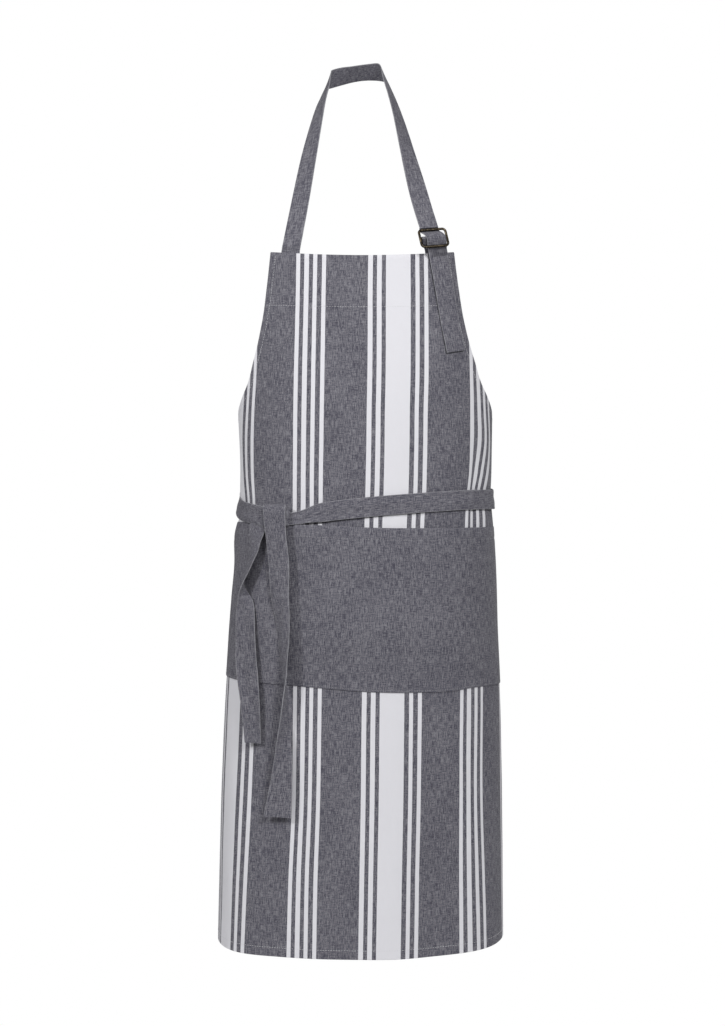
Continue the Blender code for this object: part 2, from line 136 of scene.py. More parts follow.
# How far the cloth's own line lies to the right of its flat place, by height, at these flat places
GRAIN_S = (
    -0.215, -0.190, -0.165, -0.140, -0.095, -0.070, 0.000,
    0.075, 0.120, 0.135, 0.145, 0.155, 0.170, 0.190,
)
GRAIN = (
    (-1.150, -0.0108, -0.0089, -0.0059, -0.0034, -0.0019, -0.0014, -0.0026,
     -0.0047, -0.0044, -0.0035, -0.0019, 0.0003, -0.0002, -0.0024),
    (-1.050, -0.0090, -0.0068, -0.0030, -0.0002, 0.0000, -0.0005, -0.0017,
     -0.0037, -0.0048, -0.0046, -0.0036, -0.0028, -0.0042, -0.0073),
    (-0.950, -0.0056, -0.0037, -0.0005, 0.0032, 0.0043, 0.0025, -0.0008,
     -0.0021, -0.0045, -0.0054, -0.0050, -0.0058, -0.0089, -0.0110),
    (-0.850, -0.0019, -0.0006, 0.0011, 0.0044, 0.0041, 0.0031, -0.0009,
     -0.0021, -0.0052, -0.0061, -0.0052, -0.0052, -0.0089, -0.0113),
    (-0.750, -0.0013, 0.0000, 0.0012, 0.0026, 0.0035, 0.0034, -0.0002,
     -0.0027, -0.0042, -0.0051, -0.0052, -0.0053, -0.0064, -0.0073),
    (-0.650, -0.0040, -0.0022, -0.0009, -0.0000, 0.0014, 0.0016, 0.0002,
     -0.0014, -0.0017, -0.0017, -0.0025, -0.0026, -0.0016, -0.0005),
    (-0.600, -0.0076, -0.0048, -0.0031, -0.0023, -0.0003, 0.0003, 0.0003,
     -0.0008, 0.0003, 0.0014, -0.0012, -0.0015, 0.0012, 0.0046),
    (-0.570, -0.0118, -0.0081, -0.0060, -0.0044, -0.0013, -0.0007, -0.0004,
     -0.0001, 0.0019, 0.0030, 0.0009, -0.0015, 0.0011, 0.0093),
    (-0.540, -0.0161, -0.0143, -0.0095, -0.0050, -0.0013, -0.0009, -0.0002,
     0.0003, 0.0032, 0.0054, 0.0058, 0.0046, 0.0074, 0.0153),
    (-0.500, -0.0172, -0.0150, -0.0085, -0.0038, -0.0007, 0.0001, 0.0009,
     0.0014, 0.0042, 0.0063, 0.0084, 0.0109, 0.0146, 0.0180),
    (-0.460, -0.0132, -0.0082, -0.0035, -0.0022, 0.0004, 0.0013, 0.0021,
     0.0026, 0.0052, 0.0069, 0.0087, 0.0103, 0.0116, 0.0128),
    (-0.420, -0.0066, -0.0015, 0.0024, 0.0020, 0.0019, 0.0026, 0.0037,
     0.0044, 0.0065, 0.0076, 0.0086, 0.0092, 0.0099, 0.0097),
    (-0.370, 0.0022, 0.0046, 0.0061, 0.0057, 0.0045, 0.0045, 0.0053,
     0.0059, 0.0072, 0.0080, 0.0083, 0.0081, 0.0077, 0.0068),
    (-0.310, 0.0121, 0.0112, 0.0099, 0.0085, 0.0064, 0.0062, 0.0062,
     0.0068, 0.0065, 0.0068, 0.0069, 0.0064, 0.0053, 0.0038),
    (-0.255, 0.0209, 0.0170, 0.0134, 0.0106, 0.0070, 0.0070, 0.0076,
     0.0073, 0.0059, 0.0056, 0.0053, 0.0046, 0.0031, 0.0011),
)


@functools.lru_cache(maxsize=None)
def curve(table):
    """A table's keys, its other columns and their slopes, all as plain lists."""
    rows = np.array(table, dtype=float)
    keys, values = rows[:, 0], rows[:, 1:]
    return keys.tolist(), values.tolist(), np.gradient(values, keys, axis=0).tolist()


def spline(table, x):
    """The smooth curve through a table's rows at x, the first column, which rises."""
    keys, values, slopes = curve(table)
    x = min(max(x, keys[0]), keys[-1])
    i = min(max(bisect.bisect_right(keys, x) - 1, 0), len(keys) - 2)
    span = keys[i + 1] - keys[i]
    t = (x - keys[i]) / span
    a, b = 2 * t**3 - 3 * t**2 + 1, (t**3 - 2 * t**2 + t) * span
    c, d = 3 * t**2 - 2 * t**3, (t**3 - t**2) * span
    return [a * p + b * m + c * q + d * n
            for p, m, q, n in zip(values[i], slopes[i], values[i + 1], slopes[i + 1])]


STEP_S = 0.001               # the form's outline is kept at this spacing


@functools.lru_cache(maxsize=None)
def section(z):
    """The form's right half outline at a height, at even steps from the front centre, with its length."""
    half_width, shift, front, back = spline(FORM, z)
    turn = np.linspace(0.0, math.pi, 241)
    power = 2.0 / FORM_POWER
    x = half_width * np.abs(np.sin(turn)) ** power
    y = (front + back) / 2 - (back - front) / 2 * np.sign(np.cos(turn)) * np.abs(np.cos(turn)) ** power
    length = np.concatenate([[0.0], np.cumsum(np.hypot(np.diff(x), np.diff(y)))])
    even = np.arange(0.0, length[-1], STEP_S)
    ex, ey = np.interp(even, length, x), np.interp(even, length, y)
    before, after = np.maximum(even - 0.004, 0.0), np.minimum(even + 0.004, length[-1])
    dx = np.interp(after, length, x) - np.interp(before, length, x)
    dy = np.interp(after, length, y) - np.interp(before, length, y)
    run = np.hypot(dx, dy)
    return ex.tolist(), ey.tolist(), (dy / run).tolist(), (-dx / run).tolist(), float(length[-1]), shift


def form_point(s, z, lift=0.0):
    """The point at flat distance s from the front centre and height z, lifted off the form."""
    x, y, out_x, out_y, length, shift = section(round(z, 4))
    side = -1.0 if s < 0 else 1.0
    here = min(abs(s), length) / STEP_S
    i = min(int(here), len(x) - 2)
    t = here - i
    u = 1.0 - t
    return Vector((
        side * (u * x[i] + t * x[i + 1] + (u * out_x[i] + t * out_x[i + 1]) * lift) + shift,
        u * y[i] + t * y[i + 1] + (u * out_y[i] + t * out_y[i + 1]) * lift, z,
    ))


def smooth_step(low, high, x):
    t = min(1.0, max(0.0, (x - low) / (high - low)))
    return t * t * (3 - 2 * t)


def between(start, end, t):
    return start + (end - start) * t


def edge_s(z):
    return float(spline(EDGE, z)[0]) if z > WAIST_CORNER_Z else SIDE_S


def top_drop(s):
    return -BIB_SAG * (1.0 - min(1.0, (s / EDGE[-1][1]) ** 2))


def hem_rise(s):
    return (0.0105 if s > 0 else 0.0022) * min(1.0, abs(s) / 0.25) ** 2


def drape(s, z):
    """How far the panel stands off the form: the soft waves of hanging cloth, pressed in by the ties."""
    skirt = smooth_step(-0.80, -1.10, z)
    wave = 0.0016 * math.sin(37 * s + 0.9) + 0.0011 * math.sin(61 * s - 1.3)
    soft = noise.noise(Vector((s * 8, z * 4, 0.3))) * 0.0016
    fine = noise.noise(Vector((s * 30, z * 16, 4.0))) * 0.00035
    tie = math.exp(-((z + 0.583 - 0.05 * s) / 0.022) ** 2)
    press = 0.0012 + 0.0030 * smooth_step(0.12, 0.20, -s)
    pleat_height = smooth_step(-0.49, -0.56, z) * smooth_step(-0.67, -0.60, z)
    pleat = math.exp(-((s - 0.146) / 0.0035) ** 2) * pleat_height
    return skirt * wave + (soft + fine) * (1 - tie) - press * tie - 0.0022 * pleat


@functools.lru_cache(maxsize=None)
def grain_row(z):
    return spline(GRAIN, z)


def grain_u(s, z):
    """Distance across the cloth itself: the hang and the pull of the ties move the stripes."""
    row = grain_row(round(z, 4))
    i = min(max(bisect.bisect_right(GRAIN_S, s) - 1, 0), len(GRAIN_S) - 2)
    t = min(1.0, max(0.0, (s - GRAIN_S[i]) / (GRAIN_S[i + 1] - GRAIN_S[i])))
    return s - between(row[i], row[i + 1], t)


def settle(obj):
    """Applies the modifiers, so that the piece's mesh is its final shape."""
    bpy.context.view_layer.update()
    shaped = bpy.data.meshes.new_from_object(obj.evaluated_get(bpy.context.evaluated_depsgraph_get()))
    obj.modifiers.clear()
    obj.data = shaped
    shaped.shade_smooth()
    shaped.set_sharp_from_angle(angle=math.radians(48))
    return obj


def cloth(name, finish, across, along, place, weave, thickness, rounded=True):
    """A sheet of cloth: place(u, v) puts each knot of its grid, and weave(u, v) is its spot in the
    flat cloth. u runs across and v along, both counted in grid steps."""
    mesh = bpy.data.meshes.new(name)
    grid = bmesh.new()
    bmesh.ops.create_grid(grid, x_segments=across, y_segments=along, size=0.5)
    steps = {v: (round((v.co.x + 0.5) * across), round((v.co.y + 0.5) * along)) for v in grid.verts}
    flat = grid.loops.layers.uv.new("cloth")
    for face in grid.faces:
        for loop in face.loops:
            loop[flat].uv = weave(*steps[loop.vert])
    for vert, (u, v) in steps.items():
        vert.co = place(u, v)
    bmesh.ops.recalc_face_normals(grid, faces=grid.faces)
    grid.to_mesh(mesh)
    grid.free()
    obj = bpy.data.objects.new(name, mesh)
    bpy.context.scene.collection.objects.link(obj)
    mesh.materials.append(finish)
    thick = obj.modifiers.new("thickness", "SOLIDIFY")
    thick.thickness, thick.offset = thickness, 0.0
    thick.use_even_offset = False
    if rounded:
        soft = obj.modifiers.new("soft_edges", "BEVEL")
        soft.width, soft.segments = thickness * 0.35, 2
        soft.limit_method, soft.angle_limit = "ANGLE", math.radians(60)
    return settle(obj)


def node(tree, kind, **settings):
    made = tree.nodes.new(kind)
    for key, value in settings.items():
        setattr(made, key, value)
    return made


def calc(tree, operation, *values):
    """A Math node; each value is a number or another node's output."""
    made = node(tree, "ShaderNodeMath", operation=operation)
    for socket, value in zip(made.inputs, values):
        if isinstance(value, (int, float)):
            socket.default_value = value
        else:
            tree.links.new(value, socket)
    return made.outputs[0]


COLOUR_A, COLOUR_B, COLOUR_OUT = 6, 7, 2     # a Mix node's sockets for colour


def mixed(tree, factor, first, second):
    """A Mix node's colour; first and second are each a colour or another node's output."""
    made = node(tree, "ShaderNodeMix", data_type="RGBA", clamp_factor=True)
    tree.links.new(factor, made.inputs["Factor"])
    for socket, colour in ((made.inputs[COLOUR_A], first), (made.inputs[COLOUR_B], second)):
        if isinstance(colour, tuple):
            socket.default_value = (*colour, 1.0)
        else:
            tree.links.new(colour, socket)
    return made.outputs[COLOUR_OUT]


def streaks(tree, source, per_metre, detail, offset):
    """Noise drawn out along the yarns: how many per metre across and along the cloth."""
    place = node(tree, "ShaderNodeMapping")
    place.inputs["Scale"].default_value = (*per_metre, 1.0)
    place.inputs["Location"].default_value = (offset, offset, 0.0)
    tree.links.new(source, place.inputs["Vector"])
    noisy = node(tree, "ShaderNodeTexNoise")
    noisy.inputs["Scale"].default_value = 1.0
    noisy.inputs["Detail"].default_value = detail
    tree.links.new(place.outputs[0], noisy.inputs["Vector"])
    return noisy.outputs["Fac"]


# White warp stripes in one repeat of the cloth, in metres from the first thin stripe: start, end
REPEAT = 0.2230
STRIPES = (
    (0.0000, 0.0056), (0.0111, 0.0168), (0.0224, 0.0539), (0.0595, 0.0651), (0.0707, 0.0762),
    (0.1308, 0.1364), (0.1418, 0.1474), (0.1528, 0.1584), (0.1638, 0.1691),
)
WARP = (0.068, 0.066, 0.088)
WEFT = (0.235, 0.230, 0.255)
WHITE = (0.765, 0.760, 0.800)
DULL_WHITE = tuple(c * 0.93 for c in WHITE)
# Colour of a band's folded edges: partly wear, partly a painted highlight where the edges catch the light
PALE_WEAR_AND_HIGHLIGHT = (0.42, 0.42, 0.44)    # a band's folded edges
YARN = 0.00052               # from one yarn to the next
MOTTLE_MEAN = 1.82           # what the slubs add up to on average


def woven(name, striped=False, band=0.0):
    """Chambray: dark warp over a paler weft, with slubs along both. It can have white warp stripes, or be a
    band so wide, whose two folded edges show paler, partly from wear and partly as a painted highlight."""
    made = bpy.data.materials.new(name)
    made.use_nodes = True
    tree = made.node_tree
    shader = tree.nodes["Principled BSDF"]
    shader.inputs["Roughness"].default_value = 0.88
    shader.inputs["Specular IOR Level"].default_value = 0.25
    shader.inputs["Sheen Weight"].default_value = 0.10
    shader.inputs["Sheen Roughness"].default_value = 0.45
    source = node(tree, "ShaderNodeUVMap", uv_map="cloth").outputs[0]
    split = node(tree, "ShaderNodeSeparateXYZ")
    tree.links.new(source, split.inputs[0])
    across, along = split.outputs[0], split.outputs[1]

    over = node(tree, "ShaderNodeTexChecker")
    over.inputs["Scale"].default_value = 1.0 / YARN
    over.inputs["Color1"].default_value = (1, 1, 1, 1)
    over.inputs["Color2"].default_value = (0, 0, 0, 1)
    tree.links.new(source, over.inputs["Vector"])
    warp_round = calc(tree, "ABSOLUTE", calc(tree, "SINE", calc(tree, "MULTIPLY", across, math.pi / YARN)))
    weft_round = calc(tree, "ABSOLUTE", calc(tree, "SINE", calc(tree, "MULTIPLY", along, math.pi / YARN)))
    yarn_height = calc(
        tree, "ADD",
        calc(tree, "MULTIPLY", warp_round, over.outputs["Fac"]),
        calc(tree, "MULTIPLY", weft_round, calc(tree, "SUBTRACT", 1.0, over.outputs["Fac"])),
    )

    slub = streaks(tree, source, (1050, 95), 2.0, 3.1)
    fine_slub = streaks(tree, source, (2300, 420), 1.0, 9.7)
    cross = streaks(tree, source, (120, 1300), 1.0, 5.3)
    cloud = streaks(tree, source, (26, 14), 2.0, 1.7)
    mottle = calc(
        tree, "ADD",
        calc(tree, "ADD", calc(tree, "MULTIPLY", slub, 1.50), calc(tree, "MULTIPLY", fine_slub, 0.95)),
        calc(tree, "ADD", calc(tree, "MULTIPLY", cross, 0.95), calc(tree, "MULTIPLY", cloud, 0.25)),
    )

    show_weft = calc(
        tree, "ADD",
        calc(tree, "MULTIPLY", calc(tree, "SUBTRACT", 1.0, over.outputs["Fac"]), 0.35),
        calc(tree, "MULTIPLY_ADD", calc(tree, "SUBTRACT", mottle, MOTTLE_MEAN), 2.1, 0.20),
    )
    colour = mixed(tree, show_weft, WARP, WEFT)

    if striped:
        wrapped = calc(tree, "DIVIDE", calc(tree, "WRAP", across, REPEAT, 0.0), REPEAT)
        bands = node(tree, "ShaderNodeValToRGB")
        bands.color_ramp.interpolation = "CONSTANT"
        ramp = bands.color_ramp.elements
        ramp[0].position, ramp[0].color = 0.0, (1, 1, 1, 1)
        ramp[1].position, ramp[1].color = STRIPES[0][1] / REPEAT, (0, 0, 0, 1)
        for start, end in STRIPES[1:]:
            ramp.new(start / REPEAT).color = (1, 1, 1, 1)
            ramp.new(end / REPEAT).color = (0, 0, 0, 1)
        tree.links.new(wrapped, bands.inputs["Fac"])
        pale = mixed(tree, calc(tree, "MULTIPLY_ADD", mottle, 0.30, -0.05), DULL_WHITE, WHITE)
        colour = mixed(tree, bands.outputs["Color"], colour, pale)
    if band:
        # Paler folded edges: partly wear, partly a painted highlight where the edges catch the light
        out = calc(tree, "ABSOLUTE", calc(tree, "SUBTRACT", across, band / 2))
        wear_and_highlight_edge = node(tree, "ShaderNodeMapRange", clamp=True)
        wear_and_highlight_edge.inputs["From Min"].default_value = band / 2 - 0.0010
        wear_and_highlight_edge.inputs["From Max"].default_value = band / 2
        wear_and_highlight_edge.inputs["To Max"].default_value = 0.45
        tree.links.new(out, wear_and_highlight_edge.inputs["Value"])
        colour = mixed(tree, wear_and_highlight_edge.outputs[0], colour, PALE_WEAR_AND_HIGHLIGHT)
    tree.links.new(colour, shader.inputs["Base Color"])

    relief = calc(tree, "ADD",
                  calc(tree, "MULTIPLY", yarn_height, 0.6), calc(tree, "MULTIPLY", mottle, 0.45))
    bump = node(tree, "ShaderNodeBump")
    bump.inputs["Strength"].default_value = 0.55
    bump.inputs["Distance"].default_value = 0.00022
    tree.links.new(relief, bump.inputs["Height"])
    tree.links.new(bump.outputs[0], shader.inputs["Normal"])
    return made


striped_cotton = woven("striped_cotton_weave", striped=True)
chambray = woven("chambray_weave")
band_chambray = woven("chambray_band_weave", band=0.025)

CLOTH = 0.00055              # one layer
TURNED = 0.0085              # cloth turned to the back along the sides
TURNED_HEM = 0.0115
EDGE_STEPS = 3               # grid steps round a turned edge
FOLD_OUT = (0.0, 0.00045, -0.0001)                # out past the edge, at each step but the last
FOLD_LIFT = (0.0, -0.0005, -0.0010, -0.0010)
FOLD_USED = (0.0, 0.0007, 0.0014, 0.0014 + TURNED)    # cloth used up round the fold, for the weave

heights = np.concatenate([
    np.linspace(BIB_TOP_Z, -0.437, 40)[:-1],
    np.linspace(-0.437, WAIST_CORNER_Z, 32)[:-1],
    np.linspace(WAIST_CORNER_Z, HEM_Z, 110),
])
share = np.linspace(-1.0, 1.0, 169)


def panel_flat(column, row):
    """Flat place and lift of one knot of the panel's grid, with its folded edges."""
    past_side = max(0, EDGE_STEPS - column, column - (EDGE_STEPS + len(share) - 1))
    past_top = max(0, EDGE_STEPS - row)
    past_hem = max(0, row - (EDGE_STEPS + len(heights) - 1))
    z = float(heights[min(max(row - EDGE_STEPS, 0), len(heights) - 1)])
    t = float(share[min(max(column - EDGE_STEPS, 0), len(share) - 1)])
    side = -1.0 if t < 0 else 1.0
    s = t * edge_s(z) + side * (*FOLD_OUT, -TURNED)[past_side]
    lift = FOLD_LIFT[past_side] + FOLD_LIFT[past_top] + FOLD_LIFT[past_hem]
    near_top = smooth_step(BIB_TOP_Z - 0.06, BIB_TOP_Z, z)
    near_hem = smooth_step(HEM_Z + 0.12, HEM_Z, z)
    z += near_top * top_drop(s) + near_hem * hem_rise(s)
    z += (*FOLD_OUT, -TURNED)[past_top]
    z -= (*FOLD_OUT, -TURNED_HEM)[past_hem]
    u = grain_u(t * edge_s(z), z) + side * FOLD_USED[past_side]
    v = z + (2 * FOLD_USED[past_top] - 2 * FOLD_USED[past_hem])
    return s, z, lift, (u, v)


def place_panel(column, row):
    s, z, lift, _ = panel_flat(column, row)
    return form_point(s, z, lift + drape(s, z))


panel = cloth(
    "striped_panel", striped_cotton, len(share) + 5, len(heights) + 5, place_panel,
    lambda column, row: panel_flat(column, row)[3], CLOTH, rounded=False,
)
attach(panel, "apron")
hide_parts("main_panel")

# ----------------------------------------------------------------------------
# Facing: a strip of the same striped cotton behind the bib top, turned in at its lower edge.
# The neck strap's end and the buckle loop are caught between it and the panel.
# ----------------------------------------------------------------------------
FACING_Z = -0.3330
FACING_LIFT = -0.0021
FACING_COLUMNS, FACING_ROWS = 96, 20
STRAP_S, LOOP_S = -0.0935, 0.0980     # where the strap and the loop are sewn in
STRAP = 0.025                         # width of the strap, the loop and the ties


def facing_flat(column, row):
    down = row / FACING_ROWS
    s = (2 * column / FACING_COLUMNS - 1) * (edge_s(between(BIB_TOP_Z, FACING_Z, down)) - 0.0012)
    z = between(BIB_TOP_Z - 0.0006, FACING_Z, down)
    z += smooth_step(BIB_TOP_Z - 0.06, BIB_TOP_Z, z) * top_drop(s)
    return s, z


def near_band(s, middle):
    return 1 - smooth_step(0.011, 0.019, abs(s - middle))


def place_facing(column, row):
    s, z = facing_flat(column, row)
    over_strap = 0.0009 * near_band(s, STRAP_S) * smooth_step(-0.325, -0.312, z)
    over_loop = 0.0020 * near_band(s, LOOP_S) * smooth_step(-0.325, -0.308, z)
    return form_point(s, z, drape(s, z) + FACING_LIFT - over_strap - over_loop)


facing = cloth(
    "bib_facing_strip", striped_cotton, FACING_COLUMNS, FACING_ROWS, place_facing,
    lambda column, row: (grain_u(*facing_flat(column, row)), facing_flat(column, row)[1]), CLOTH,
)
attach(facing, "apron")
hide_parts("bib_facing")

# ----------------------------------------------------------------------------
# Pocket: plain chambray right across the skirt, caught in both side hems, its mouth turned
# down in a deep hem. It hangs a little slack in the middle.
# ----------------------------------------------------------------------------
POCKET_TOP_Z, POCKET_BASE_Z = -0.610, -0.8145
POCKET_LIFT, POCKET_BELLY, POCKET_SLACK_S = 0.0011, 0.0074, 0.215
MOUTH_HEM = 0.0145
RISES = (                    # how far mouth and base ride up, by flat place: the cloth hangs askew
    (-0.335, 0.0060, 0.0130), (-0.215, 0.0060, 0.0125), (-0.180, 0.0060, 0.0105),
    (-0.084, 0.0030, 0.0066), (-0.052, 0.0020, 0.0042), (0.000, -0.0006, 0.0002),
    (0.026, -0.0013, -0.0010), (0.069, -0.0016, -0.0014), (0.122, -0.0012, -0.0002),
    (0.140, -0.0010, 0.0018), (0.200, 0.0000, 0.0030), (0.335, 0.0, 0.0030),
)
POCKET_COLUMNS = 168
pocket_heights = np.linspace(POCKET_TOP_Z, POCKET_BASE_Z, 56)


def pocket_lift(s, z):
    slack_up = smooth_step(POCKET_BASE_Z, POCKET_BASE_Z + 0.09, z)
    slack_across = (1.0 - min(1.0, abs(s) / POCKET_SLACK_S) ** 2) ** 2
    hem_line = 0.00035 * math.exp(-((z - (POCKET_TOP_Z - MOUTH_HEM)) / 0.0016) ** 2)
    rumple = noise.noise(Vector((s * 14, z * 9, 7.0))) * 0.0009 * slack_up
    beside_tail = s + 0.078 + 0.12 * (z + 0.71)
    dip = 0.0016 * slack_up * math.exp(-(beside_tail / 0.009) ** 2)    # a soft fold by the long tail
    return POCKET_LIFT + POCKET_BELLY * slack_up * slack_across - hem_line - dip + rumple


def pocket_rise(s, z):
    mouth, base = spline(RISES, s)
    return between(base, mouth, (z - POCKET_BASE_Z) / (POCKET_TOP_Z - POCKET_BASE_Z))


def pocket_flat(column, row):
    past_mouth = max(0, EDGE_STEPS - row)
    s = (2 * column / POCKET_COLUMNS - 1) * SIDE_S
    z = float(pocket_heights[max(row - EDGE_STEPS, 0)])
    lift = (0.0, -0.0004, -0.0009, -0.0009)[past_mouth]
    z += (0.0, 0.0004, -0.0001, -MOUTH_HEM)[past_mouth]
    return s, z + pocket_rise(s, z), lift


def place_pocket(column, row):
    s, z, lift = pocket_flat(column, row)
    return form_point(s, z, drape(s, z) + pocket_lift(s, z) + lift)


pocket = cloth(
    "front_pocket", chambray, POCKET_COLUMNS, EDGE_STEPS + len(pocket_heights) - 1, place_pocket,
    lambda column, row: pocket_flat(column, row)[:2], CLOTH, rounded=False,
)
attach(pocket, "apron")
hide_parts("pocket_panel")

# ----------------------------------------------------------------------------
# Stitches: rows of lockstitches in cotton thread, each stitch a short plump dash that dips
# into the cloth at both ends. White on the stripes, grey on the pocket.
# ----------------------------------------------------------------------------
STITCH, STITCH_GAP, THREAD = 0.0026, 0.0007, 0.00042


def thread_finish(name, colour):
    made = bpy.data.materials.new(name)
    made.use_nodes = True
    tree = made.node_tree
    shader = tree.nodes["Principled BSDF"]
    shader.inputs["Roughness"].default_value = 0.75
    shader.inputs["Sheen Weight"].default_value = 0.2
    source = node(tree, "ShaderNodeTexCoord").outputs["Object"]
    fibres = node(tree, "ShaderNodeTexNoise")
    fibres.inputs["Scale"].default_value = 2600
    tree.links.new(source, fibres.inputs["Vector"])
    tint = mixed(tree, fibres.outputs["Fac"], tuple(c * 0.82 for c in colour), colour)
    tree.links.new(tint, shader.inputs["Base Color"])
    return made


white_thread = thread_finish("white_thread_twist", (0.72, 0.72, 0.74))
grey_thread = thread_finish("grey_thread_twist", (0.30, 0.30, 0.32))


def stitch_row(name, finish, place, length, replaced):
    """Stitches along place(d), which gives the point d metres along the row."""
    mesh = bpy.data.meshes.new(name)
    row = bmesh.new()
    pitch = STITCH + STITCH_GAP
    for i in range(int(length / pitch)):
        start, end = place(i * pitch), place(i * pitch + STITCH)
        run = end - start
        turn = run.to_track_quat("X", "Z").to_matrix().to_4x4()
        size = Matrix.Diagonal((run.length / 2, THREAD / 2, THREAD / 2, 1.0))
        lying = Matrix.Rotation(math.pi / 2, 4, "Y")
        bmesh.ops.create_uvsphere(row, u_segments=6, v_segments=4, radius=1.0,
                                  matrix=Matrix.Translation((start + end) / 2) @ turn @ size @ lying)
    row.to_mesh(mesh)
    row.free()
    mesh.shade_smooth()
    mesh.materials.append(finish)
    obj = bpy.data.objects.new(name, mesh)
    bpy.context.scene.collection.objects.link(obj)
    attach(obj, "apron")
    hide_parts(replaced)


def on_panel(s, z, lift=CLOTH / 2 + 0.0001):
    return form_point(s, z, drape(s, z) + lift)


facing_half = edge_s(FACING_Z) - 0.004


def facing_line(d):
    """The facing's lower seam, which sags in the middle."""
    rise = 0.0046 * min(1.0, abs(d / facing_half - 1.0)) ** 2
    return on_panel(d - facing_half, FACING_Z + 0.0006 + rise)


stitch_row("facing_stitches", white_thread, facing_line, 2 * facing_half, "facing_thread")
stitch_row("hem_stitches", white_thread,
           lambda d: on_panel(d - SIDE_S + 0.004, HEM_Z + hem_rise(d - SIDE_S) + 0.0106),
           2 * SIDE_S - 0.008, "bottom_hem_thread")
ARMHOLE_INSET, WALK = 0.0075, 0.002


def edge_slope(z):
    return (edge_s(z - 0.001) - edge_s(z + 0.001)) / 0.002


for side, word in ((-1, "left"), (1, "right")):
    def down_armhole(d, side=side):
        z = BIB_TOP_Z - 0.004
        left = d
        while left > 0:                       # walk down the edge, a short step at a time
            step = min(WALK, left)
            z -= step / math.hypot(1.0, edge_slope(z))
            left -= step
        slope = edge_slope(z)
        lean = math.hypot(1.0, slope)
        return on_panel(side * (edge_s(z) - ARMHOLE_INSET / lean), z - ARMHOLE_INSET * slope / lean)
    stitch_row(f"armhole_stitches_{word}", white_thread, down_armhole, 0.325, f"armhole_thread_{word}")
    stitch_row(
        f"side_stitches_{word}", white_thread,
        lambda d, side=side: on_panel(side * (SIDE_S - 0.0072), WAIST_CORNER_Z - 0.012 - d,
                                      -0.0010 - CLOTH / 2 - 0.0001),
        0.62, f"side_thread_{word}",
    )


def on_pocket(s, z):
    z += pocket_rise(s, z)
    return form_point(s, z, drape(s, z) + pocket_lift(s, z) + CLOTH / 2 + 0.00005)


stitch_row("pocket_mouth_stitches", grey_thread,
           lambda d: on_pocket(d - SIDE_S + 0.006, POCKET_TOP_Z - MOUTH_HEM), 2 * SIDE_S - 0.012,
           "pocket_hem_thread")
stitch_row("pocket_base_stitches", grey_thread,
           lambda d: on_pocket(d - SIDE_S + 0.006, POCKET_BASE_Z + 0.0022), 2 * SIDE_S - 0.012,
           "pocket_base_thread")

# ----------------------------------------------------------------------------
# Neck strap: one chambray band folded double and pressed, sewn in at the left of the bib top,
# round the back of the neck, and down to the slider.
# ----------------------------------------------------------------------------
BAND = 0.0011                # a folded band's thickness
LEFT_FOLD = Vector((-0.0900, -0.1560, -0.2540))
RIGHT_FOLD = Vector((0.0846, -0.1590, -0.2292))
NECK_ROUTE = (               # middle of the band, and the way across it
    ((-0.0900, -0.1560, -0.2540), (0.955, -0.280, 0.050)),
    ((-0.0797, -0.1290, -0.1930), (0.93, -0.35, 0.09)),
    ((-0.0686, -0.1000, -0.1260), (0.83, -0.53, 0.18)),
    ((-0.0567, -0.0660, -0.0630), (0.60, -0.70, 0.38)),
    ((-0.0496, -0.0480, -0.0360), (0.46, -0.76, 0.46)),
    ((-0.0456, -0.0280, -0.0175), (0.30, -0.62, 0.72)),
    ((-0.0412, -0.0120, -0.0112), (0.12, -0.35, 0.93)),
    ((-0.0290, -0.0050, -0.0063), (0.06, -0.48, 0.87)),
    ((-0.0168, -0.0015, -0.0031), (0.02, -0.66, 0.75)),
    ((-0.0034, 0.0000, -0.0005), (0.00, -0.70, 0.71)),
    ((0.0100, -0.0020, 0.0003), (-0.02, -0.66, 0.75)),
    ((0.0222, -0.0085, -0.0012), (-0.12, -0.54, 0.83)),
    ((0.0291, -0.0225, -0.0086), (-0.34, -0.66, 0.67)),
    ((0.0329, -0.0390, -0.0235), (-0.46, -0.72, 0.52)),
    ((0.0400, -0.0560, -0.0470), (-0.54, -0.72, 0.44)),
    ((0.0484, -0.0740, -0.0785), (-0.64, -0.69, 0.34)),
    ((0.0589, -0.1000, -0.1260), (-0.80, -0.58, 0.14)),
    ((0.0705, -0.1330, -0.1790), (-0.95, -0.30, -0.03)),
    ((0.0768, -0.1462, -0.2045), (-0.957, -0.275, -0.090)),
    ((0.0841, -0.1622, -0.2318), (-0.947, -0.302, -0.111)),
)
neck_table = tuple((i, *point, *across) for i, (point, across) in enumerate(NECK_ROUTE))
NECK_STEPS, TUCKED_STEPS, BAND_COLUMNS = 200, 24, 8


def place_neck_strap(column, row):
    aside = (column / BAND_COLUMNS - 0.5) * STRAP
    if row < TUCKED_STEPS:                      # sewn end, between the panel and the facing
        t = 1 - row / TUCKED_STEPS
        s, z = between(-0.0925, -0.0945, t), between(-0.2575, -0.3130, t)
        return form_point(s + aside, z, drape(s, z) - 0.0015)
    spot = spline(neck_table, (row - TUCKED_STEPS) / NECK_STEPS * (len(NECK_ROUTE) - 1))
    return Vector(spot[:3]) + Vector(spot[3:]).normalized() * aside


NECK_LENGTH = 0.706          # declared, with the sewn end; the middle as drawn is 0.710
neck_strap = cloth(
    "neck_strap_band", band_chambray, BAND_COLUMNS, NECK_STEPS + TUCKED_STEPS, place_neck_strap,
    lambda column, row: (column / BAND_COLUMNS * STRAP, row / (NECK_STEPS + TUCKED_STEPS) * NECK_LENGTH),
    BAND,
)
fold_axis = (RIGHT_FOLD - LEFT_FOLD).normalized()
fold_up = Vector((0.13, 0.45, 0.88))
fold_up = (fold_up - fold_axis * fold_up.dot(fold_axis)).normalized()
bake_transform(neck_strap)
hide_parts("neck_strap", "strap_end_sewn")

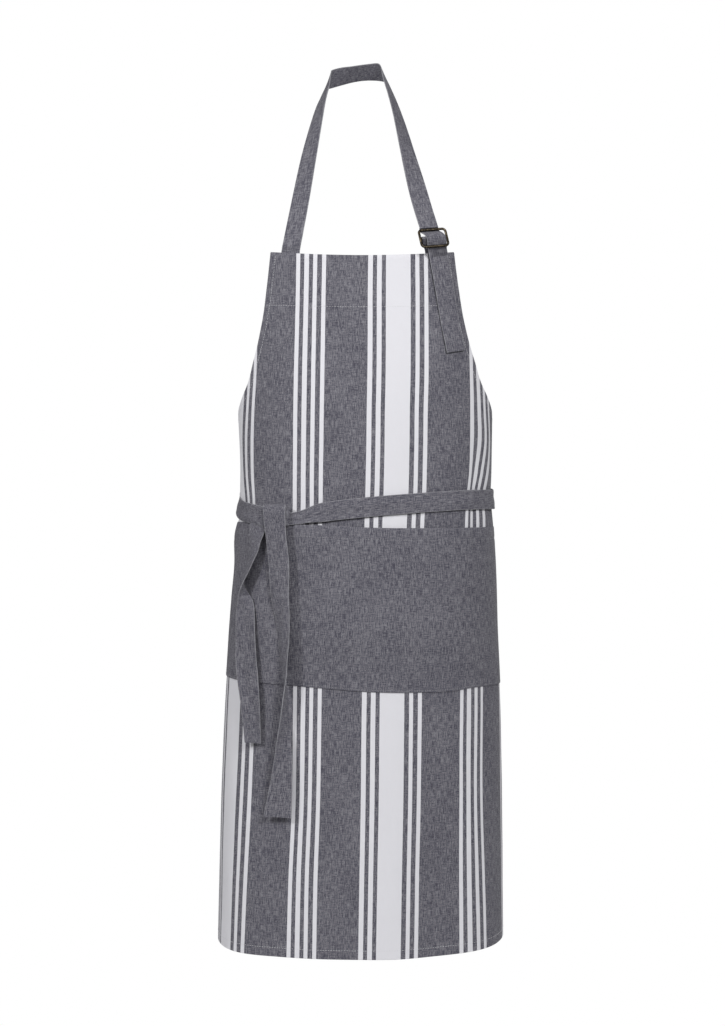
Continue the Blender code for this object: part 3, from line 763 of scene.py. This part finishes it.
# ----------------------------------------------------------------------------
# Slider buckle: antique brass, a bent wire frame with a middle bar let in through two collars.
# ----------------------------------------------------------------------------
BUCKLE_CENTRE = Vector((0.0897, -0.1665, -0.2448))
BUCKLE_ALONG = Vector((0.947, 0.302, 0.111)).normalized()
BUCKLE_DOWN = Vector((0.200, -0.280, -0.940)).normalized()
BUCKLE_LENGTH, BUCKLE_HEIGHT = 0.0390, 0.0265
BUCKLE_WIRE, BUCKLE_BAR, BUCKLE_CORNER = 0.0033, 0.0030, 0.0042
WIRE_SIDES, CORNER_STEPS, FLATTENED = 18, 8, 0.86
COLLAR_RADIUS, COLLAR_LENGTH = 0.00178, 0.0018
buckle_axes = Matrix((BUCKLE_ALONG, BUCKLE_ALONG.cross(BUCKLE_DOWN).normalized(), -BUCKLE_DOWN))
buckle_place = Matrix.Translation(BUCKLE_CENTRE) @ buckle_axes.transposed().to_4x4()

brass = bpy.data.materials.new("antique_brass_plate")
brass.use_nodes = True
tree = brass.node_tree
shader = tree.nodes["Principled BSDF"]
shader.inputs["Metallic"].default_value = 1.0
source = node(tree, "ShaderNodeTexCoord").outputs["Object"]
patina = node(tree, "ShaderNodeTexNoise")
patina.inputs["Scale"].default_value = 420
patina.inputs["Detail"].default_value = 4
tree.links.new(source, patina.inputs["Vector"])
worn = node(tree, "ShaderNodeValToRGB")
for stop, position, colour in zip(worn.color_ramp.elements, (0.35, 0.72),
                                  ((0.014, 0.012, 0.010, 1), (0.115, 0.092, 0.062, 1))):
    stop.position, stop.color = position, colour
tree.links.new(patina.outputs["Fac"], worn.inputs["Fac"])
tree.links.new(worn.outputs["Color"], shader.inputs["Base Color"])
tree.links.new(calc(tree, "MULTIPLY_ADD", patina.outputs["Fac"], -0.25, 0.50), shader.inputs["Roughness"])
pits = node(tree, "ShaderNodeBump")
pits.inputs["Strength"].default_value = 0.15
pits.inputs["Distance"].default_value = 0.0002
tree.links.new(patina.outputs["Fac"], pits.inputs["Height"])
tree.links.new(pits.outputs[0], shader.inputs["Normal"])


def brass_piece(name, shape, replaced):
    mesh = bpy.data.meshes.new(name)
    bmesh.ops.recalc_face_normals(shape, faces=shape.faces)
    bmesh.ops.transform(shape, matrix=buckle_place, verts=shape.verts)
    shape.to_mesh(mesh)
    shape.free()
    mesh.shade_smooth()
    mesh.set_sharp_from_angle(angle=math.radians(50))
    mesh.materials.append(brass)
    obj = bpy.data.objects.new(name, mesh)
    bpy.context.scene.collection.objects.link(obj)
    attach(obj, "buckle")
    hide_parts(replaced)


# Frame: a ring of wire sections, flattened a little front to back, along a rounded rectangle
wire_frame = bmesh.new()
sections = []
forward = Vector((0, 1, 0))
half_x, half_z = (BUCKLE_LENGTH - BUCKLE_WIRE) / 2, (BUCKLE_HEIGHT - BUCKLE_WIRE) / 2
for quarter, (sx, sz) in enumerate(((1, 1), (-1, 1), (-1, -1), (1, -1))):
    for step in range(CORNER_STEPS + 1):
        angle = math.radians(90 * quarter + 90 / CORNER_STEPS * step)
        outward = Vector((math.cos(angle), 0.0, math.sin(angle)))
        corner = Vector((sx * (half_x - BUCKLE_CORNER), 0.0, sz * (half_z - BUCKLE_CORNER)))
        upright = Matrix((outward, forward, outward.cross(forward))).transposed().to_4x4()
        spot = (Matrix.Translation(corner + outward * BUCKLE_CORNER) @ upright
                @ Matrix.Diagonal((1, FLATTENED, 1, 1)))
        ring = bmesh.ops.create_circle(wire_frame, segments=WIRE_SIDES, radius=BUCKLE_WIRE / 2, matrix=spot)
        sections.append(ring["verts"])
for first, second in zip(sections, sections[1:] + sections[:1]):
    for i in range(WIRE_SIDES):
        j = (i + 1) % WIRE_SIDES
        wire_frame.faces.new((first[i], first[j], second[j], second[i]))
brass_piece("slider_frame", wire_frame, "buckle_frame")

# Bar: a rod along the slider's middle, thicker at its ends where it is let in to the frame
bar = bmesh.new()
quarter_turn = Matrix.Rotation(math.radians(90), 4, "Y")
bar_length = BUCKLE_LENGTH - 2 * BUCKLE_WIRE + 0.0004
bmesh.ops.create_cone(bar, cap_ends=True, segments=24, radius1=BUCKLE_BAR / 2, radius2=BUCKLE_BAR / 2,
                      depth=bar_length, matrix=quarter_turn)
for end in (-1, 1):
    collar = Matrix.Translation((end * (bar_length / 2 - COLLAR_LENGTH / 2), 0, 0)) @ quarter_turn
    bmesh.ops.create_cone(bar, cap_ends=True, segments=24, radius1=COLLAR_RADIUS, radius2=COLLAR_RADIUS,
                          depth=COLLAR_LENGTH, matrix=collar)
bmesh.ops.bevel(bar, geom=[e for e in bar.edges if len(e.link_faces) == 2 and e.calc_face_angle() > 1.0],
                offset=0.00025, offset_type="OFFSET", segments=2, profile=0.5, affect="EDGES", material=-1)
brass_piece("slider_bar", bar, "buckle_bar")

# ----------------------------------------------------------------------------
# Cloth in the slider: a short loop sewn behind the bib goes round the bar, and the neck strap
# passes behind the top rail, over the bar, behind the bottom rail and hangs free.
# ----------------------------------------------------------------------------


def in_buckle(x, y, z):
    return buckle_place @ Vector((x, y, z))


TURN = (                     # place along the turn, then sideways, back and up from the bar
    (0.0, -0.0024, 0.0026, 0.0158), (1.0, -0.0020, 0.0026, 0.0104),
    (2.0, -0.0002, -0.0014, 0.0056), (3.0, 0.0019, -0.0037, 0.0),
    (4.0, 0.0028, -0.0014, -0.0056), (5.0, 0.0030, 0.0025, -0.0104),
    (6.0, 0.0030, 0.0027, -0.0136),
)
TURN_STEPS = 6               # grid steps from one row of the table to the next
TURN_WIDTH = 0.0257          # drawn a little wider than the band, to fill the slider


def place_turn(column, row):
    x, y, z = spline(TURN, row / TURN_STEPS)
    return in_buckle((column / BAND_COLUMNS - 0.5) * TURN_WIDTH + x, y, z)


strap_turn = cloth(
    "strap_turn_over_bar", band_chambray, BAND_COLUMNS, (len(TURN) - 1) * TURN_STEPS, place_turn,
    lambda column, row: (column / BAND_COLUMNS * STRAP, NECK_LENGTH + row * 0.0008), BAND,
)
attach(strap_turn, "buckle")
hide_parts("strap_turn")

LOOP_CLOTH = 0.0007
wrap = BUCKLE_BAR / 2 + 0.0003 + LOOP_CLOTH / 2
loop_arc = [in_buckle(-0.0017, -wrap * math.cos(a), wrap * math.sin(a))
            for a in np.radians(np.linspace(-50, 200, 19))]
LOOP_TUCKED, LOOP_WIDTH = 14, 0.0282     # drawn wider than the band, to fill the slider


def place_loop(column, row):
    aside = (column / BAND_COLUMNS - 0.5) * LOOP_WIDTH
    if LOOP_TUCKED <= row < LOOP_TUCKED + len(loop_arc):
        return loop_arc[row - LOOP_TUCKED] + BUCKLE_ALONG * aside
    front = row < LOOP_TUCKED
    down = (LOOP_TUCKED - 1 - row if front else row - LOOP_TUCKED - len(loop_arc)) / (LOOP_TUCKED - 1)
    lift = -0.0012 if front else -0.0012 - LOOP_CLOTH - 0.0002
    s, z = between(0.0945, 0.0975, down) + aside, between(-0.2600, -0.3060, down)
    return form_point(s, z, drape(s, z) + lift)


loop_rows = 2 * LOOP_TUCKED + len(loop_arc) - 1
buckle_loop = cloth(
    "buckle_loop_band", chambray, BAND_COLUMNS, loop_rows, place_loop,
    lambda column, row: (column / BAND_COLUMNS * STRAP, row * 0.0028), LOOP_CLOTH,
)
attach(buckle_loop, "apron")
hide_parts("buckle_loop")

# Free end: lies slanting over the bib, its tip turned under and sewn
FREE_TOP, FREE_END = (0.0970, -0.2665), (0.1175, -0.3875)
free_run = math.hypot(FREE_END[0] - FREE_TOP[0], FREE_END[1] - FREE_TOP[1])
lean_s, lean_z = (FREE_END[0] - FREE_TOP[0]) / free_run, (FREE_END[1] - FREE_TOP[1]) / free_run
FREE_STEPS = 60


def place_free_end(column, row):
    aside = (column / BAND_COLUMNS - 0.5) * STRAP
    if row == 0:                                # tucked up behind the slider's bottom rail
        return in_buckle(aside + 0.0030, 0.0027, -0.0122)
    past = max(0, row - (FREE_STEPS - 3))       # tip, turned to the back
    d = min(1.0, (row - 1) / (FREE_STEPS - 4)) * free_run + (0.0, 0.0003, -0.0003, -0.0090)[past]
    lift = 0.0030 - (0.0, 0.0006, 0.0011, 0.0011)[past]
    s = FREE_TOP[0] + lean_s * d - lean_z * aside
    z = FREE_TOP[1] + lean_z * d + lean_s * aside
    flutter = 0.0006 * math.sin(d * 55) * smooth_step(0.0, 0.05, d)
    curl = 0.0010 * smooth_step(0.7, 1.0, d / free_run) * (2 * column / BAND_COLUMNS - 1) ** 2
    return form_point(s, z, lift + max(0.0, drape(s, z)) + flutter + curl)


free_end = cloth(
    "strap_free_band", band_chambray, BAND_COLUMNS, FREE_STEPS, place_free_end,
    lambda column, row: (column / BAND_COLUMNS * STRAP, row * free_run / FREE_STEPS), 0.0009,
)
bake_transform(free_end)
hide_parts("strap_free_end")

# ----------------------------------------------------------------------------
# Waist ties: two chambray bands, each sewn behind a back corner with a square of stitches,
# crossed behind the back and brought round to the front.
# ----------------------------------------------------------------------------
LEFT_TIE = (
    (-2.213, -0.5998, 0.0056), (-2.180, -0.5975, 0.0044), (-2.142, -0.5928, 0.0032),
    (-2.096, -0.5897, 0.0024), (-2.000, -0.5850, 0.0019), (-1.850, -0.5795, 0.0019),
    (-1.700, -0.5755, 0.0020), (-1.500, -0.5735, 0.0028), (-1.260, -0.5620, 0.0022),
    (-1.180, -0.5560, 0.0003), (-1.000, -0.5310, 0.0000), (-0.860, -0.5110, -0.0004),
    (-0.800, -0.5030, -0.0022), (-0.735, -0.4990, -0.0028),
)
RIGHT_TIE = (
    (0.735, -0.4990, -0.0028), (0.800, -0.5030, -0.0020), (0.860, -0.5110, 0.0018),
    (1.000, -0.5310, 0.0022), (1.180, -0.5560, 0.0026), (1.260, -0.5640, 0.0030),
    (1.480, -0.5770, 0.0012), (1.560, -0.5858, -0.0008), (1.620, -0.5900, 0.0020),
    (1.660, -0.5922, 0.0058), (1.705, -0.5953, 0.0098), (1.745, -0.5985, 0.0122), (1.777, -0.6010, 0.0132),
)


TIE_STEPS, TIE_WEAVE = 260, 0.66     # grid steps along a tie, and the length of its weave


def place_tie(table):
    start, end = table[0][0], table[-1][0]

    def place(column, row):
        turn = between(start, end, row / TIE_STEPS)
        z, lift = spline(table, turn)
        aside = column / BAND_COLUMNS - 0.5
        flare = -0.0022 * aside * math.exp(-((abs(turn) - 1.5) / 0.10) ** 2)
        rumple = noise.noise(Vector((turn * 9, aside * 2, 1.0))) * 0.0007
        crease = 0.0005 * math.sin(aside * 9.0 + turn * 6.0) + rumple
        wrapped = (turn + 1.0) % 2.0 - 1.0
        s = wrapped * section(round(z, 4))[4]
        pulled = smooth_step(-2.105, -2.200, turn)         # bunched where it goes into the knot
        crease += 0.0014 * pulled * math.sin(aside * 13.0 + 1.2)
        return form_point(s, z + aside * STRAP * (1.0 - 0.38 * pulled), lift + flare + max(crease, -0.0004))
    return place


for name, table, length, node_name in (
    ("left_tie_band", LEFT_TIE, 0.668, "waist_tie_left"),
    ("right_tie_band", RIGHT_TIE, 0.480, "waist_tie_right"),
):
    tie = cloth(
        name, band_chambray, BAND_COLUMNS, TIE_STEPS, place_tie(table),
        lambda column, row: (column / BAND_COLUMNS * STRAP, row / TIE_STEPS * TIE_WEAVE), BAND,
    )
    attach(tie, "apron")
    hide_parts(node_name)
BOX_EDGE = 0.012
BOX_CORNERS = ((-1, 1), (1, 1), (1, -1), (-1, -1), (-1, 1))
for side, word in ((-1, "left"), (1, "right")):
    def round_square(d, side=side):
        leg, along_leg = divmod(d, BOX_EDGE)
        a, b = BOX_CORNERS[int(leg) % 4], BOX_CORNERS[int(leg) % 4 + 1]
        x, z = (between(a[i], b[i], along_leg / BOX_EDGE) * BOX_EDGE / 2 for i in (0, 1))
        return on_panel(side * 0.3235 + x, -0.5110 + z)
    stitch_row(f"tie_box_stitches_{word}", white_thread, round_square, 4 * BOX_EDGE, f"tie_stitch_{word}")

# ----------------------------------------------------------------------------
# Knot and tails: the two bands cross in a soft core, the long one turns up over it and falls in
# front, the short one comes out below and to the left. Both ends are turned in and sewn.
# ----------------------------------------------------------------------------
KNOT_S = -0.1100
CORE_COLUMNS, CORE_ROWS = 24, 20
TAIL_COLUMNS = 12


def place_core(column, row):
    """A crumpled pad of crossed bands behind the turned one."""
    u, v = column / CORE_COLUMNS - 0.5, row / CORE_ROWS - 0.5
    bulge = (1 - (2 * u) ** 4) * (1 - (2 * v) ** 4)
    pucker = 0.0009 * math.sin(u * 16 + v * 9) * bulge
    return form_point(KNOT_S + u * 0.034, -0.5965 + v * 0.0250, 0.0062 + 0.0058 * bulge + pucker)


knot_core = cloth("knot_core_cloth", chambray, CORE_COLUMNS, CORE_ROWS, place_core,
                  lambda column, row: (column * 0.0012, row * 0.0011), BAND)
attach(knot_core, "apron")
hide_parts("knot_core")

# Each row: place along the band, height, then flat place and lift of one edge and of the other. Both tails
# twist half a turn on the way down.
LONG_TAIL = (
    (0, -0.5890, -0.1288, 0.0070, -0.0993, 0.0070), (1, -0.5835, -0.1288, 0.0085, -0.0982, 0.0088),
    (2, -0.5815, -0.1266, 0.0120, -0.0968, 0.0125), (3, -0.5840, -0.1241, 0.0155, -0.0954, 0.0160),
    (4, -0.5920, -0.1225, 0.0165, -0.0952, 0.0172), (5, -0.6050, -0.1218, 0.0150, -0.0943, 0.0160),
    (6, -0.6220, -0.1203, 0.0130, -0.0932, 0.0162), (7, -0.6500, -0.1189, 0.0115, -0.0913, 0.0172),
    (8, -0.6796, -0.1173, 0.0102, -0.0898, 0.0182), (9, -0.7000, -0.1149, 0.0084, -0.0888, 0.0194),
    (10, -0.7250, -0.1097, 0.0060, -0.0878, 0.0200), (11, -0.7520, -0.1069, 0.0045, -0.0871, 0.0215),
    (12, -0.7750, -0.1033, 0.0036, -0.0885, 0.0220), (13, -0.7950, -0.0987, 0.0033, -0.0901, 0.0220),
    (14, -0.8150, -0.0940, 0.0036, -0.0923, 0.0215), (15, -0.8370, -0.0907, 0.0045, -0.0954, 0.0200),
    (16, -0.8720, -0.0882, 0.0060, -0.1013, 0.0175), (17, -0.9120, -0.0852, 0.0080, -0.1083, 0.0130),
    (18, -0.9450, -0.0849, 0.0090, -0.1153, 0.0105), (19, -0.9715, -0.0860, 0.0095, -0.1206, 0.0095),
)
SHORT_TAIL = (
    (0, -0.6000, -0.1467, 0.0060, -0.1225, 0.0080), (1, -0.6130, -0.1477, 0.0075, -0.1235, 0.0095),
    (2, -0.6210, -0.1486, 0.0080, -0.1252, 0.0115), (3, -0.6290, -0.1483, 0.0080, -0.1281, 0.0130),
    (4, -0.6410, -0.1497, 0.0075, -0.1316, 0.0155), (5, -0.6520, -0.1542, 0.0065, -0.1358, 0.0175),
    (6, -0.6650, -0.1618, 0.0050, -0.1411, 0.0190), (7, -0.6780, -0.1676, 0.0040, -0.1484, 0.0195),
    (8, -0.6900, -0.1582, 0.0038, -0.1536, 0.0190), (9, -0.7020, -0.1448, 0.0050, -0.1586, 0.0165),
    (10, -0.7200, -0.1400, 0.0065, -0.1644, 0.0125), (11, -0.7450, -0.1374, 0.0075, -0.1679, 0.0095),
    (12, -0.7780, -0.1343, 0.0080, -0.1671, 0.0090), (13, -0.8040, -0.1314, 0.0080, -0.1624, 0.0090),
    (14, -0.8340, -0.1289, 0.0075, -0.1563, 0.0090), (15, -0.8600, -0.1280, 0.0070, -0.1520, 0.0090),
    (16, -0.8810, -0.1274, 0.0070, -0.1487, 0.0090),
)


def place_tail(table, start, end, rows):
    def place(column, row):
        along = between(start, end, row / rows)
        z, s1, lift1, s2, lift2 = spline(table, along)
        one, other = form_point(s1, z, lift1), form_point(s2, z, lift2)
        u = column / TAIL_COLUMNS
        face = (other - one).cross(Vector((0.0, 0.0, 1.0))).normalized()
        curl = 0.0011 * (4 * u * (1 - u)) + 0.0004 * math.sin(9 * u + 2.1 * along)
        return one.lerp(other, u) + face * curl
    return place


for name, table, start, end, rests, width, replaced, bodies, crossing in (
    ("long_tail_top_band", LONG_TAIL, 0, 9, "knot_core_cloth", 0.130, ("knot_turn", "long_tail_upper"),
     ("apron", "long_tail"), (-0.606, -0.640)),
    ("long_tail_end_band", LONG_TAIL, 9, 19, "front_pocket", 0.272, ("long_tail_lower",),
     ("long_tail", "long_tail_tip"), (-0.780, -0.805)),
    ("short_tail_top_band", SHORT_TAIL, 0, 7, "front_pocket", 0.083, ("short_tail_upper",),
     ("apron", "short_tail"), (-0.608, -0.640)),
    ("short_tail_end_band", SHORT_TAIL, 7, 16, "front_pocket", 0.206, ("short_tail_lower",),
     ("short_tail", "short_tail_tip"), (-0.735, -0.760)),
):
    rows = (end - start) * 10
    tail = cloth(
        name, band_chambray, TAIL_COLUMNS, rows, place_tail(table, start, end, rows),
        lambda column, row, start=start: (column / TAIL_COLUMNS * STRAP, start * 0.027 + row * 0.0027),
        0.0009, rounded=False,
    )
    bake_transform(tail)
    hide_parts(*replaced)
